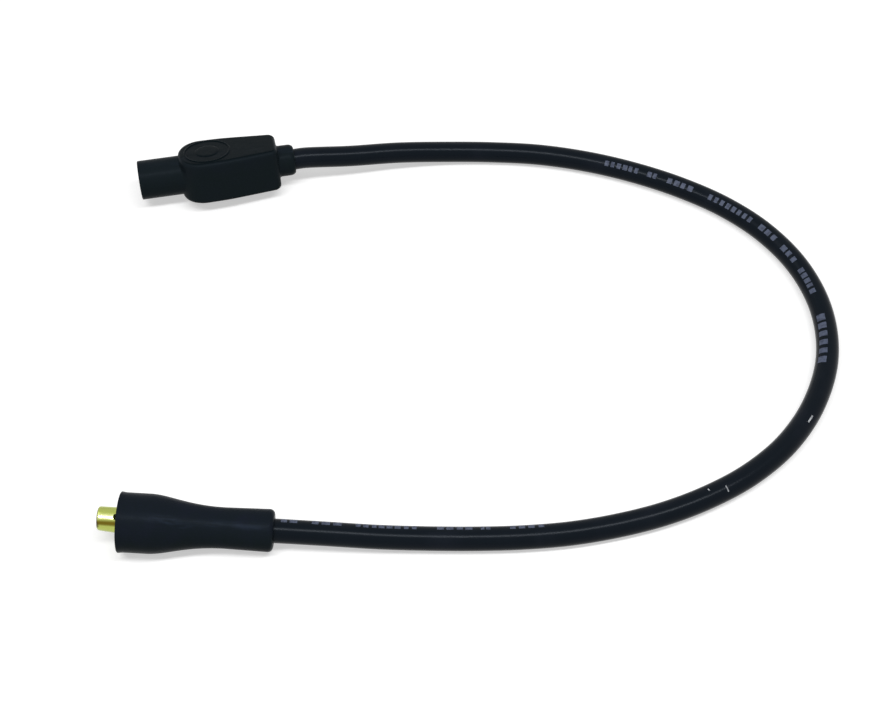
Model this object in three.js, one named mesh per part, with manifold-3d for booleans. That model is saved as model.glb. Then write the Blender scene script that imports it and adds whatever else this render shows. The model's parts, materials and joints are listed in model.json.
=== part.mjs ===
// Ignition lead: a round high-voltage cable with a moulded rubber boot and a sheet-brass terminal at each end.
// Millimetres, +Z up. The lead lies on the plane z = 0 with its cable in one wide arc. +X runs along the plug boot,
// from its mouth towards its cable, and the origin lies on that plane under the middle of the two boots.
// Each boot is drawn in its own frame: x from the mouth towards the cable, y across, z through its thickness.

import * as THREE from "three";
import { mergeVertices } from "three/addons/utils/BufferGeometryUtils.js";
import Module from "manifold-3d";

// Fits
const gap = 0.3; // clearance between pieces that touch
const bootSegments = 32; // facets round a boot
const brassSegments = 24; // and round a terminal

// Cable
const cableRadius = 4;
const coreRadius = 1.1;
const cableSides = 12;
const coreSides = 8;
const sectionSpacing = 2; // cable diameters between two sections

// Sheet-brass terminals, alike from the core crimp to the jacket crimp
const brassWall = 0.5;
const coreCrimpLength = 2.6;
const jacketCrimpLength = 9;
const jacketInset = 0.6; // the jacket ends this far inside its crimp
const coreInset = 0.4; // the core ends this far inside its crimp
const funnelLength = 1.8; // sheet drawn down between two crimps
const windowLength = 1.1; // where the sheet is left open between two crimps
const seamWidth = 0.5; // left open where the edges of a crimp meet

// Plug terminal: a snap socket for a 6.35 mm terminal nut
const socketInnerRadius = 3.3;
const socketLength = 9;
const waistDistance = 3.6; // from the socket's mouth to the groove that the spring sits in
const waistLength = 1.5;
const waistDepth = 0.25;
const waistRamp = 0.4;
const jawSlotWidth = 1.1;
const jawSlotLength = 7;
const springWireRadius = 0.35;
const springMouthAngle = 55; // degrees left open in the ring

// Coil terminal: a rolled post with a blunt slot
const postRadius = 4.2;
const postTaper = 0.3; // the post is this much thinner at its tip
const postReach = 7; // beyond the boot's rim
const postTipRound = 0.8;
const postHold = 21; // length of the post inside the boot
const slotWidth = 1.9;
const slotNose = 0.6; // over this length the slot's end narrows to half its width
const slotReach = 1.3; // beyond the boot's rim
const slotDepth = 5; // the slot reaches this far inside the rim
const slotTurn = 23; // degrees from straight up, towards the boot's outer side
const rolledSeamWidth = 0.3;
const postLean = 2.6; // degrees, of the post in its soft boot
const postLeanTurn = 38; // degrees from level, of the side that it leans to
const postRoot = 12; // from the rim to where the lean begins

// Plug boot: round barrel, boxed body and round collar
const boreRadius = 5.2; // over the plug's insulator
const boreDepth = 20.5;
const boreLeadIn = 0.8;
const sealRibHeight = 0.35;
const sealRibPlaces = [6, 9.5];
const sealRibHalfLength = 0.7;
const barrelWall = 2.2;
const barrelLength = 15.7;
const mouthRound = 0.35;
const socketLipLength = 2; // rubber lip that centres the socket
const cavityRamp = 0.8; // slope between two inner diameters
const bodyLength = 37.4;
const bodyWall = 3.3; // rubber over the crimp, through the thickness
const heelSideWall = 2.85; // rubber beside the crimp, at the cable end
const flankGain = 2.7; // each side is this much wider where its flank turns
const shoulderGain = 3.3; // and this much at the barrel end
const flankTurn = 17.5; // from the body's barrel end to where its flank turns
const flankRadius = 45;
const shoulderRadius = 9.2;
const heelRadius = 2.6;
const bodyEdgeRound = 1.6;
const collarLength = 6.4;
const collarWall = 1.65;
const collarRound = 1.4;
const medallionPlace = 26.8; // from the mouth
const medallionRadius = 9;
const medallionRim = 0.9;
const medallionHeight = 0.4;

// Coil boot: one turned shape, a bell that narrows to a neck
const coilBootLength = 50;
const bellInnerRadius = 7.6;
const bellWall = 2.15;
const bellDepth = 13;
const bellLength = 9.5; // the bell keeps its full width for this length
const bellFloorRound = 1.5;
const neckStart = 34;
const neckWall = 1.6; // rubber over the crimp
const neckFlare = 0.3; // the neck is this much wider at its end
const neckRound = 1.1;

// Where the boots lie
const plugMouth = [-16.8, 78.3];
const plugRoll = 17.5; // degrees about the boot's own axis
const coilMouth = [-35.3, -73.6];
const coilYaw = -12.35; // degrees from +X

// The cable's route between the boots, on the floor except where it comes down from them
const straightExit = 4; // the cable leaves each boot in line with it
const cableRoute = [
  [64.2, 77.9, 8.9],
  [83.2, 78.1, 6.9],
  [101.7, 77.1, 4.8],
  [120.1, 74, 4.1],
  [138, 69.1, 4.1],
  [155.8, 61.7, 4.1],
  [172.1, 52.5, 4.1],
  [187.4, 41.4, 4.1],
  [201.1, 28.3, 4.1],
  [211.9, 12.8, 4.1],
  [218.9, -5.8, 4.1],
  [220.4, -26.9, 4.1],
  [215.4, -48, 4.1],
  [204.2, -66.7, 4.1],
  [189.7, -81.1, 4.1],
  [173.4, -90.9, 4.1],
  [157, -96.9, 4.1],
  [140.6, -100.5, 4.1],
  [124.5, -102, 4.1],
  [108.4, -102, 4.1],
  [92.8, -100.5, 4.1],
  [77.3, -98, 4.1],
  [62.1, -95, 4.2],
  [46.7, -91.9, 4.9],
  [31.5, -88.5, 6],
];

// Sizes that follow from the ones above
const passageRadius = cableRadius + gap;
const crimpInnerRadius = cableRadius + gap;
const crimpOuterRadius = crimpInnerRadius + brassWall;
const cavityRadius = crimpOuterRadius + gap;
const coreCrimpInnerRadius = coreRadius + gap;
const barrelRadius = boreRadius + barrelWall;
const collarRadius = passageRadius + collarWall;
const bodyHalfThickness = cavityRadius + bodyWall;
const plugBootLength = barrelLength + bodyLength + collarLength;
const bellRadius = bellInnerRadius + bellWall;
const neckRadius = cavityRadius + neckWall;

const materials = {
  bootRubber: new THREE.MeshStandardMaterial({ color: 0x15181a, roughness: 0.55, metalness: 0 }),
  jacketSilicone: new THREE.MeshStandardMaterial({ color: 0x14151f, roughness: 0.35, metalness: 0 }),
  brass: new THREE.MeshStandardMaterial({ color: 0xc2b45a, roughness: 0.3, metalness: 1 }),
  springSteel: new THREE.MeshStandardMaterial({ color: 0xb4b6b8, roughness: 0.3, metalness: 1 }),
  coreBraid: new THREE.MeshStandardMaterial({ color: 0x8c5a3a, roughness: 0.5, metalness: 0.8 }),
};

const wasm = await Module();
wasm.setup();

// A closed geometry as a solid for cutting and joining.
function solidOf(geometry) {
  const bare = geometry.clone();
  bare.deleteAttribute("normal");
  bare.deleteAttribute("uv");
  const merged = mergeVertices(bare, 1e-4);
  const vertProperties = merged.attributes.position.array;
  const triVerts = Uint32Array.from(merged.index.array);
  return new wasm.Manifold(new wasm.Mesh({ numProp: 3, vertProperties, triVerts }));
}

// A solid as a geometry to draw.
function geometryOf(solid) {
  const { vertProperties, triVerts } = solid.getMesh();
  const geometry = new THREE.BufferGeometry();
  geometry.setAttribute("position", new THREE.BufferAttribute(vertProperties, 3));
  geometry.setIndex(new THREE.BufferAttribute(triVerts, 1));
  geometry.computeVertexNormals();
  return geometry;
}

function meshOf(name, geometry, material) {
  const mesh = new THREE.Mesh(geometry, material);
  mesh.name = name;
  return mesh;
}

// Turns an outline of [x, radius] points about the x axis. Outside, the points run towards +x.
function revolve(outline, segments) {
  const points = outline.map(([x, radius]) => new THREE.Vector2(radius, x));
  return new THREE.LatheGeometry(points, segments).rotateZ(-Math.PI / 2);
}

// [x, radius] points of a quarter round between two points, bulging away from the axis or towards it.
function quarterRound([x0, radius0], [x1, radius1], bulgesOut, steps = 4) {
  return Array.from({ length: steps + 1 }, (_, i) => {
    const angle = (i / steps) * (Math.PI / 2);
    const early = Math.sin(angle);
    const late = 1 - Math.cos(angle);
    const rising = radius1 > radius0;
    const radiusShare = rising === bulgesOut ? early : late;
    const lengthShare = rising === bulgesOut ? late : early;
    return [x0 + (x1 - x0) * lengthShare, radius0 + (radius1 - radius0) * radiusShare];
  });
}

// A closed outline with a tangent arc at each corner, from [x, y, radius of the arc] going round anticlockwise.
function roundedOutline(corners) {
  const shape = new THREE.Shape();
  corners.forEach(([x, y, radius], i) => {
    const corner = new THREE.Vector2(x, y);
    const [x0, y0] = corners.at(i - 1);
    const [x1, y1] = corners[(i + 1) % corners.length];
    const back = new THREE.Vector2(x0, y0).sub(corner).normalize();
    const ahead = new THREE.Vector2(x1, y1).sub(corner).normalize();
    const halfAngle = back.angleTo(ahead) / 2;
    const middle = back.clone().add(ahead).normalize();
    const centre = corner.clone().addScaledVector(middle, radius / Math.sin(halfAngle));
    const start = corner.clone().addScaledVector(back, radius / Math.tan(halfAngle)).sub(centre);
    const end = corner.clone().addScaledVector(ahead, radius / Math.tan(halfAngle)).sub(centre);
    shape.absarc(centre.x, centre.y, radius, start.angle(), end.angle(), false);
  });
  shape.closePath();
  return shape;
}

// A plan outline given thickness, with every edge rounded.
function roundedSlab(shape, thickness, edgeRound) {
  const depth = thickness - 2 * edgeRound;
  const slab = new THREE.ExtrudeGeometry(shape, {
    depth,
    curveSegments: 5,
    bevelSegments: 4,
    bevelThickness: edgeRound,
    bevelSize: edgeRound,
    bevelOffset: -edgeRound,
  });
  return slab.translate(0, 0, -depth / 2);
}

// A block from x = start to x = end, centred across, that reaches from the axis out through +z.
function cutterAbove(start, end, width, height) {
  const box = new THREE.BoxGeometry(end - start, width, height);
  return solidOf(box.translate((start + end) / 2, 0, height / 2));
}

// The tail that both terminals share: a funnel to the core crimp, and one out to the jacket crimp.
function tailStations(start) {
  const coreStart = start + funnelLength;
  const coreEnd = coreStart + coreCrimpLength;
  const jacketStart = coreEnd + funnelLength;
  const jacketEnd = jacketStart + jacketCrimpLength;
  return { start, coreStart, coreEnd, jacketStart, jacketEnd };
}

const plugCavityStart = boreDepth + cavityRamp + socketLipLength;
const socketStart = boreDepth + cavityRamp;
const plugTail = tailStations(socketStart + socketLength);
const coilTail = tailStations(postHold);

// Inner [x, radius] points of the shared tail, from the socket or post to its cable end.
function tailInside(tail, startRadius) {
  return [
    [tail.start, startRadius],
    [tail.coreStart, coreCrimpInnerRadius],
    [tail.coreEnd, coreCrimpInnerRadius],
    [tail.jacketStart, crimpInnerRadius],
    [tail.jacketEnd, crimpInnerRadius],
  ];
}

// Sheet metal turned to an inner outline, one wall thick.
function turnedSheet(inside) {
  const outside = inside.map(([x, radius]) => [x, radius + brassWall]);
  const outline = [...outside, ...inside.toReversed(), outside[0]];
  return solidOf(revolve(outline, brassSegments));
}

// The seams and windows that rolling leaves along the top of the tail.
function tailCuts(tail) {
  const high = 2 * crimpOuterRadius;
  const front = (tail.start + tail.coreStart) / 2;
  const rear = (tail.coreEnd + tail.jacketStart) / 2;
  const window = (middle) =>
    cutterAbove(middle - windowLength / 2, middle + windowLength / 2, high, high);
  return window(front)
    .add(window(rear))
    .add(cutterAbove(front, tail.jacketEnd + gap, seamWidth, high));
}

function plugTerminal() {
  const waist = socketStart + waistDistance;
  const throat = socketInnerRadius - waistDepth;
  const sheet = turnedSheet([
    [socketStart, socketInnerRadius],
    [waist - waistRamp, socketInnerRadius],
    [waist, throat],
    [waist + waistLength, throat],
    [waist + waistLength + waistRamp, socketInnerRadius],
    ...tailInside(plugTail, socketInnerRadius),
  ]);
  const slots = new THREE.BoxGeometry(2 * jawSlotLength, jawSlotWidth, 4 * socketInnerRadius);
  slots.translate(socketStart, 0, 0);
  const cut = sheet.subtract(solidOf(slots)).subtract(tailCuts(plugTail));
  return meshOf("plug_terminal", geometryOf(cut), materials.brass);
}

// An open ring of round wire in the socket's groove, its mouth to one side.
function terminalSpring() {
  const waistMiddle = socketStart + waistDistance + waistLength / 2;
  const ringRadius = socketInnerRadius - waistDepth + brassWall + gap + springWireRadius;
  const mouth = THREE.MathUtils.degToRad(springMouthAngle);
  const arc = new THREE.EllipseCurve(0, 0, ringRadius, ringRadius, mouth / 2, 2 * Math.PI - mouth / 2);
  const path = new THREE.CatmullRomCurve3(arc.getPoints(20).map(({ x, y }) => new THREE.Vector3(waistMiddle, x, y)));
  const wire = sweep(circle(springWireRadius), path, 20, 6);
  return meshOf("terminal_spring", wire, materials.springSteel);
}

function coilTerminal() {
  const inside = postRadius - brassWall;
  const tip = -postReach;
  const tipInside = inside - postTaper;
  const sheet = turnedSheet([
    ...quarterRound([tip, tipInside - postTipRound], [tip + postTipRound, tipInside], true),
    [0, inside],
    [postRoot, inside],
    ...tailInside(coilTail, inside),
  ]);
  const slotPlan = new THREE.Shape([
    new THREE.Vector2(-slotReach, -slotWidth / 4),
    new THREE.Vector2(slotNose - slotReach, -slotWidth / 2),
    new THREE.Vector2(slotDepth, -slotWidth / 2),
    new THREE.Vector2(slotDepth, slotWidth / 2),
    new THREE.Vector2(slotNose - slotReach, slotWidth / 2),
    new THREE.Vector2(-slotReach, slotWidth / 4),
  ]);
  const slot = solidOf(new THREE.ExtrudeGeometry(slotPlan, { depth: 2 * postRadius, bevelEnabled: false }));
  const seam = cutterAbove(tip - gap, 0, rolledSeamWidth, 2 * postRadius);
  const cut = sheet.subtract(tailCuts(coilTail)).subtract(slot.add(seam).rotate([slotTurn, 0, 0]));
  return meshOf("coil_terminal", leanPost(geometryOf(cut)), materials.brass);
}

// Leans the post to one side, from its root out to its tip.
function leanPost(geometry) {
  const position = geometry.getAttribute("position");
  const slope = Math.tan(THREE.MathUtils.degToRad(postLean));
  const turn = THREE.MathUtils.degToRad(postLeanTurn);
  for (let i = 0; i < position.count; i++) {
    const lean = slope * Math.max(0, postRoot - position.getX(i));
    position.setY(i, position.getY(i) + lean * Math.cos(turn));
    position.setZ(i, position.getZ(i) + lean * Math.sin(turn));
  }
  geometry.computeVertexNormals();
  return geometry;
}

// The space inside the plug boot: insulator bore with sealing ribs, socket lip, crimp cavity and cable passage.
function plugBootInside() {
  const ribs = sealRibPlaces.flatMap((place) => [
    [place - 2 * sealRibHalfLength, boreRadius],
    [place - sealRibHalfLength / 2, boreRadius - sealRibHeight],
    [place + sealRibHalfLength / 2, boreRadius - sealRibHeight],
    [place + 2 * sealRibHalfLength, boreRadius],
  ]);
  const lipRadius = socketInnerRadius + brassWall + gap;
  const cavityEnd = plugTail.jacketEnd + gap;
  const outline = [
    [-boreLeadIn, 0],
    [-boreLeadIn, boreRadius + 2 * boreLeadIn],
    [boreLeadIn, boreRadius],
    ...ribs,
    [boreDepth, boreRadius],
    [boreDepth + cavityRamp, lipRadius],
    [plugCavityStart, lipRadius],
    [plugCavityStart + cavityRamp, cavityRadius],
    [cavityEnd, cavityRadius],
    [cavityEnd + cavityRamp, passageRadius],
    [plugBootLength + gap, passageRadius],
    [plugBootLength + gap, 0],
  ];
  return solidOf(revolve(outline, bootSegments));
}

// A raised ring on the boot's broad face, plain inside.
function medallion() {
  const top = bodyHalfThickness + medallionHeight;
  const root = bodyHalfThickness - medallionHeight;
  const outline = [
    [medallionRadius - medallionRim, root],
    [medallionRadius, root],
    [medallionRadius, top - medallionHeight / 2],
    [medallionRadius - medallionRim / 4, top],
    [medallionRadius - (medallionRim * 3) / 4, top],
    [medallionRadius - medallionRim, top - medallionHeight / 2],
    [medallionRadius - medallionRim, root],
  ];
  const points = outline.map(([radius, height]) => new THREE.Vector2(radius, height));
  const ring = new THREE.LatheGeometry(points, bootSegments).rotateX(Math.PI / 2);
  return solidOf(ring.translate(medallionPlace, 0, 0));
}

function plugBoot() {
  const bodyStart = barrelLength;
  const bodyEnd = barrelLength + bodyLength;
  const middle = (bodyStart + bodyEnd) / 2;
  const heelHalfWidth = cavityRadius + heelSideWall;
  const flankHalfWidth = heelHalfWidth + flankGain;
  const shoulderHalfWidth = heelHalfWidth + shoulderGain;
  const stem = revolve([
    [0, 0],
    ...quarterRound([0, barrelRadius - mouthRound], [mouthRound, barrelRadius], true, 2),
    [middle, barrelRadius],
    [middle, collarRadius],
    ...quarterRound([plugBootLength - collarRound, collarRadius], [plugBootLength, collarRadius - collarRound], true, 3),
    [plugBootLength, 0],
  ], bootSegments);
  const plan = roundedOutline([
    [bodyStart, -shoulderHalfWidth, shoulderRadius],
    [bodyStart + flankTurn, -flankHalfWidth, flankRadius],
    [bodyEnd, -heelHalfWidth, heelRadius],
    [bodyEnd, heelHalfWidth, heelRadius],
    [bodyStart + flankTurn, flankHalfWidth, flankRadius],
    [bodyStart, shoulderHalfWidth, shoulderRadius],
  ]);
  const body = roundedSlab(plan, 2 * bodyHalfThickness, bodyEdgeRound);
  const outside = solidOf(body).add(solidOf(stem)).add(medallion());
  return meshOf("plug_boot", geometryOf(outside.subtract(plugBootInside())), materials.bootRubber);
}

function coilBoot() {
  const shoulder = new THREE.CubicBezierCurve(
    new THREE.Vector2(bellLength, bellRadius),
    new THREE.Vector2(bellLength + (neckStart - bellLength) * 0.25, bellRadius),
    new THREE.Vector2(bellLength + (neckStart - bellLength) * 0.49, neckRadius),
    new THREE.Vector2(neckStart, neckRadius),
  );
  const neckEnd = coilBootLength;
  const neckEndRadius = neckRadius + neckFlare;
  const postBore = postRadius + gap;
  const cavityEnd = coilTail.jacketEnd + gap;
  const outside = [
    ...quarterRound([0, bellRadius - mouthRound], [mouthRound, bellRadius], true, 2),
    ...shoulder.getPoints(10).map(({ x, y }) => [x, y]),
    ...quarterRound([neckEnd - neckRound, neckEndRadius], [neckEnd, neckEndRadius - neckRound], true),
  ];
  const inside = [
    [0, bellInnerRadius + mouthRound],
    [mouthRound, bellInnerRadius],
    ...quarterRound([bellDepth - bellFloorRound, bellInnerRadius], [bellDepth, bellInnerRadius - bellFloorRound], true, 3),
    [bellDepth, postBore],
    [coilTail.start, postBore],
    [coilTail.start + cavityRamp, cavityRadius],
    [cavityEnd, cavityRadius],
    [cavityEnd + cavityRamp, passageRadius],
    [neckEnd, passageRadius],
  ];
  const outline = [...outside, ...inside.toReversed(), outside[0]];
  return meshOf("coil_boot", revolve(outline, bootSegments), materials.bootRubber);
}

function circle(radius) {
  return new THREE.Shape().absarc(0, 0, radius, 0, 2 * Math.PI, false);
}

function sweep(shape, path, steps, sides) {
  return new THREE.ExtrudeGeometry(shape, {
    steps,
    curveSegments: sides / 2,
    bevelEnabled: false,
    extrudePath: path,
  });
}

// Lowers a boot, with what it holds, until it lies on the floor.
function settle(group) {
  const box = new THREE.Box3().setFromObject(group, true);
  group.position.z -= box.min.z;
  group.updateMatrixWorld(true);
  return group;
}

// The plug boot lies rolled onto one corner of its body, as the cable's twist holds it.
function plugEnd() {
  const group = new THREE.Group();
  group.add(plugBoot(), plugTerminal(), terminalSpring());
  group.position.set(...plugMouth, 0);
  group.rotation.x = -THREE.MathUtils.degToRad(plugRoll);
  return settle(group);
}

// The coil boot rests on the back of its bell and on the end of its neck.
function coilEnd() {
  const group = new THREE.Group();
  group.add(coilBoot(), coilTerminal());
  const drop = bellRadius - neckRadius - neckFlare;
  const pitch = Math.asin(drop / (coilBootLength - neckRound - bellLength));
  group.position.set(...coilMouth, 0);
  group.rotation.set(0, pitch, THREE.MathUtils.degToRad(coilYaw), "ZYX");
  return settle(group);
}

// The middle line of the cable, with the bared core at both ends.
function cablePath(plug, coil) {
  const alongPlug = (x) => plug.localToWorld(new THREE.Vector3(x, 0, 0));
  const alongCoil = (x) => coil.localToWorld(new THREE.Vector3(x, 0, 0));
  return new THREE.CatmullRomCurve3([
    alongPlug(plugTail.coreStart + coreInset),
    alongPlug((plugTail.coreStart + plugBootLength) / 2),
    alongPlug(plugBootLength),
    alongPlug(plugBootLength + straightExit),
    ...cableRoute.map((point) => new THREE.Vector3(...point)),
    alongCoil(coilBootLength + straightExit),
    alongCoil(coilBootLength),
    alongCoil((coilTail.coreStart + coilBootLength) / 2),
    alongCoil(coilTail.coreStart + coreInset),
  ]);
}

// What the jacket is cut back by at one end of the path, to bare the core.
function strippedEnd(path, share) {
  const bared = plugTail.jacketStart + jacketInset - plugTail.coreStart - coreInset;
  const block = new THREE.CylinderGeometry(2 * cableRadius, 2 * cableRadius, 2 * bared, cableSides);
  const turn = new THREE.Quaternion().setFromUnitVectors(new THREE.Vector3(0, 1, 0), path.getTangentAt(share));
  return solidOf(block.applyQuaternion(turn).translate(...path.getPointAt(share)));
}

function cable(plug, coil) {
  const path = cablePath(plug, coil);
  const steps = Math.ceil(path.getLength() / (sectionSpacing * 2 * cableRadius));
  const ring = circle(cableRadius);
  ring.holes.push(circle(coreRadius + gap));
  const jacket = solidOf(sweep(ring, path, steps, cableSides))
    .subtract(strippedEnd(path, 0))
    .subtract(strippedEnd(path, 1));
  const core = sweep(circle(coreRadius), path, steps, coreSides);
  return [
    meshOf("cable_jacket", geometryOf(jacket), materials.jacketSilicone),
    meshOf("conductor_core", core, materials.coreBraid),
  ];
}

const lead = new THREE.Group();
const plug = plugEnd();
const coil = coilEnd();
lead.add(plug, coil, ...cable(plug, coil));

export default lead;
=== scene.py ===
import json
import math
import random

import bpy
from mathutils import Matrix, Vector


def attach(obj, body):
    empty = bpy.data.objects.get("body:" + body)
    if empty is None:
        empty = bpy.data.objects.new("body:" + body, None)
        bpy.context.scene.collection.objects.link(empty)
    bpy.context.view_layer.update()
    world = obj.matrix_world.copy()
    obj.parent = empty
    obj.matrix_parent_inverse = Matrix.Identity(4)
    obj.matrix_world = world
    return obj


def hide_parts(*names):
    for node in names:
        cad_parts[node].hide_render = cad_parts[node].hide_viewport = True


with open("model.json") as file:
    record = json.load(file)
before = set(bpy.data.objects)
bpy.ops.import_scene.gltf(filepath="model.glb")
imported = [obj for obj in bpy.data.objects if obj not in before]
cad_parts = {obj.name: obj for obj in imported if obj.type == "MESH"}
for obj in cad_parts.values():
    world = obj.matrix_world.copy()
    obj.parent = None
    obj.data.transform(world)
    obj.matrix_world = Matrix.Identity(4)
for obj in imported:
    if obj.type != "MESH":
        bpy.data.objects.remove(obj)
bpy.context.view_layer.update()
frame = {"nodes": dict(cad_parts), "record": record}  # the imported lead, in metres: +X along the plug boot, +Z up, on the floor z = 0
print("frame loaded:", ", ".join(sorted(frame["nodes"])))

# Camera

view = {
    "aim": (0.08088, -0.0199, 0.004),  # middle of the picture, level with the cable's middle line
    "turn": 11.0,  # degrees from +Y towards +X
    "elevation": 52.0,  # degrees
    "distance": 0.57387,
    "lens": 66.03,  # mm, on a sensor 36 mm wide
    "clipStart": 0.01,
}


def makeCamera():
    camera = bpy.data.objects.new("camera", bpy.data.cameras.new("camera"))
    turn = math.radians(view["turn"])
    rise = math.radians(view["elevation"])
    level = math.cos(rise)
    back = Vector((-math.sin(turn) * level, -math.cos(turn) * level, math.sin(rise)))
    camera.location = Vector(view["aim"]) + view["distance"] * back
    camera.rotation_euler = back.to_track_quat("Z", "Y").to_euler()
    camera.data.lens = view["lens"]
    camera.data.clip_start = view["clipStart"]
    bpy.context.scene.collection.objects.link(camera)
    bpy.context.scene.camera = camera


makeCamera()

# The boots' own frames

bootMouths = {  # roll in degrees, as the boot lies
    "plug": {"mount": "plug_boot_mouth", "rimRadius": 0.0065, "roll": 17.5},
    "coil": {"mount": "coil_boot_mouth", "rimRadius": 0.0087, "roll": 0},
}


def bootPlacing(boot):
    # from the middle of its mouth: x towards the cable, y across, z through it
    facts = bootMouths[boot]
    mount = next(m for m in frame["record"]["mounts"] if m["name"] == facts["mount"])
    along = -Vector(mount["axis"]).normalized()
    across = Vector((0, 0, 1)).cross(along).normalized()
    through = along.cross(across)
    mouth = Vector(mount["pos_m"]) - facts["rimRadius"] * across
    axes = Matrix((along, across, through)).transposed().to_4x4()
    return Matrix.Translation(mouth) @ axes @ Matrix.Rotation(-math.radians(facts["roll"]), 4, "X")


plugPlacing = bootPlacing("plug")
coilPlacing = bootPlacing("coil")

# Shader building


class Wire:
    # one output of a node, so that maths on masks reads as plain Python
    def __init__(self, board, socket):
        self.board = board
        self.socket = socket

    def maths(self, operation, first, second):
        return self.board.node("ShaderNodeMath", {"operation": operation}, {0: first, 1: second})

    def __add__(self, other):
        return self.maths("ADD", self, other)

    def __sub__(self, other):
        return self.maths("SUBTRACT", self, other)

    def __rsub__(self, other):
        return self.maths("SUBTRACT", other, self)

    def __mul__(self, other):
        return self.maths("MULTIPLY", self, other)

    __radd__ = __add__
    __rmul__ = __mul__


class Board:
    # the node tree of a material or of the world
    def __init__(self, owner):
        owner.use_nodes = True
        self.tree = owner.node_tree

    def node(self, kind, settings=None, sockets=None, output=0):
        made = self.tree.nodes.new(kind)
        for name, value in (settings or {}).items():
            setattr(made, name, value)
        for name, value in (sockets or {}).items():
            if isinstance(value, Wire):
                self.tree.links.new(value.socket, made.inputs[name])
            else:
                made.inputs[name].default_value = value
        return Wire(self, made.outputs[output])

    def mix(self, mask, first, second):
        # colour first where the mask is 0, colour second where it is 1
        colours = {0: mask, 6: first, 7: second}
        return self.node("ShaderNodeMix", {"data_type": "RGBA"}, colours, output=2)

    def noise(self, place, scale, detail=3, stretch=(1, 1, 1)):
        spot = self.node("ShaderNodeVectorMath", {"operation": "MULTIPLY"}, {0: place, 1: stretch})
        return self.node("ShaderNodeTexNoise", {}, {"Vector": spot, "Scale": scale, "Detail": detail})

    def mask(self, value, low, high):
        # 0 below low, 1 above high, smooth between them
        sockets = {"Value": value, "From Min": low, "From Max": high}
        return self.node("ShaderNodeMapRange", {"interpolation_type": "SMOOTHSTEP"}, sockets)


class Finish(Board):
    # a material with one Principled shader
    def __init__(self, name, fixed):
        self.material = bpy.data.materials.new(name)
        super().__init__(self.material)
        self.shader = self.tree.nodes["Principled BSDF"]
        for socket, value in fixed.items():
            self.shader.inputs[socket].default_value = value

    def feed(self, socket, wire):
        self.tree.links.new(wire.socket, self.shader.inputs[socket])

    def bump(self, height, distance):
        sockets = {"Height": height, "Distance": distance, "Strength": 1.0}
        self.feed("Normal", self.node("ShaderNodeBump", {}, sockets))

    def place(self, placing):
        # coordinates in a boot's own frame
        spot = self.node("ShaderNodeTexCoord", output="Object")
        sockets = {"Vector": spot, "Location": placing.to_translation(), "Rotation": placing.to_euler()}
        return self.node("ShaderNodeMapping", {"vector_type": "TEXTURE"}, sockets)

    def sides(self, place):
        # how far across the boot and how far through it
        return [self.node("ShaderNodeSeparateXYZ", {}, {0: place}, output=axis) for axis in "YZ"]

    def turn(self, place):
        # the angle round x, in radians up from level on the outer side
        across, through = self.sides(place)
        return self.node("ShaderNodeMath", {"operation": "ARCTAN2"}, {0: through, 1: across * -1})

    def awayFrom(self, value, middle):
        # how far the value is from the middle, either way
        return self.node("ShaderNodeMath", {"operation": "ABSOLUTE"}, {0: value - middle})


def grey(shade):
    return (shade, shade, shade, 1)


# Finishes

bootRubber = {
    "dark": (0.0080, 0.0124, 0.0140, 1),
    "filmSheenColour": (0.0096, 0.0124, 0.0205, 1),  # the pale film that handled rubber has, in clouds and specks; on the upper side it is a painted bluish sheen
    "filmSheenShares": (0.30, 0.25, 0.45),  # of it in clouds and specks of film, and as painted sheen on the upper side
    "sheenLow": 0.001,  # metres above the boot's middle, where the painted sheen begins
    "sheenHigh": 0.008,
    "cloudPerMetre": 160,
    "cloudEdges": (0.42, 0.68),
    "speckPerMetre": 1500,
    "speckEdges": (0.40, 0.70),
    "paintedShade": (0.0020, 0.0050, 0.0068, 1),  # painted shade: the plug boot's broad face is darkened
    "paintedShadeLow": 0.0081,  # metres above the middle: the face is at 0.0084
    "paintedShadeHigh": 0.00837,
    # painted highlight: pale bluish patches like scuffs along the boot
    "highlightScuff": (0.021, 0.030, 0.050, 1),
    "highlightTurn": 1.20,  # radians up from level on the outer side, where a painted highlight lies along the boot, broken into patches like scuffs
    "highlightCore": 0.05,
    "highlightHalf": 0.26,
    "highlightWander": 0.5,
    "patchPerMetre": 90,
    "patchStretch": (0.6, 1, 1),
    "patchEdges": (0.44, 0.66),
    "streakPerMetre": 900,
    "streakStretch": (0.10, 1, 1),
    "streakEdges": (0.30, 0.80),
    "roughLow": 0.24,
    "roughHigh": 0.38,
    "roughPerMetre": 420,
    "specular": 0.018,
    "sheenTint": (0.70, 0.84, 1.0, 1),
    "grainPerMetre": 2600,
    "swellPerMetre": 240,
    "grainShares": (0.5, 1.6, 0.5),  # of the relief from grain, swell and streaks
    "grainDepth": 0.000045,
    "plug": {"highlightScuffs": 0.35, "filmSheen": 0.45, "paintedShade": 1.0},
    "coil": {"highlightScuffs": 1.0, "filmSheen": 1.0, "paintedShade": 0.0},
}


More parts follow.
